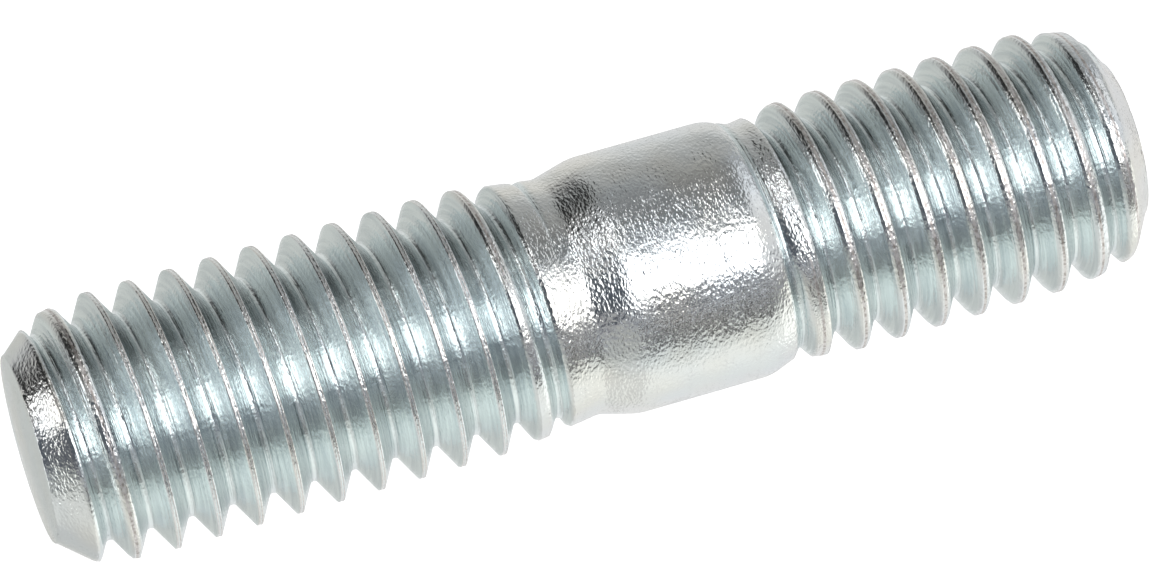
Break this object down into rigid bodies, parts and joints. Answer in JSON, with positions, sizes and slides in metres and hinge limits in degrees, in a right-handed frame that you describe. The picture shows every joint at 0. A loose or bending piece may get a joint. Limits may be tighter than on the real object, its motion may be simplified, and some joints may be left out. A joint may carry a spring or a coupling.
{
  "type": "cylinder head stud",
  "caption": "Steel double-ended stud with a rolled right-hand metric thread on each end, a short plain shank between cones, and chamfered flat ends.",
  "frame": {"origin": "centre of the tap-end face, the end that screws into the casting", "axes": "+Z along the stud from the tap end to the nut end; X and Y are square to it, and the nut-end thread's root crosses its end face 93 degrees clockwise from +X, seen from above"},
  "size_m": [0.008, 0.008, 0.034],
  "materials": {
    "zinc_plated_steel": "bright zinc plating with a clear blue passivate"
  },
  "bodies": {
    "root": {"stud": "zinc_plated_steel"}
  },
  "joints": []
}
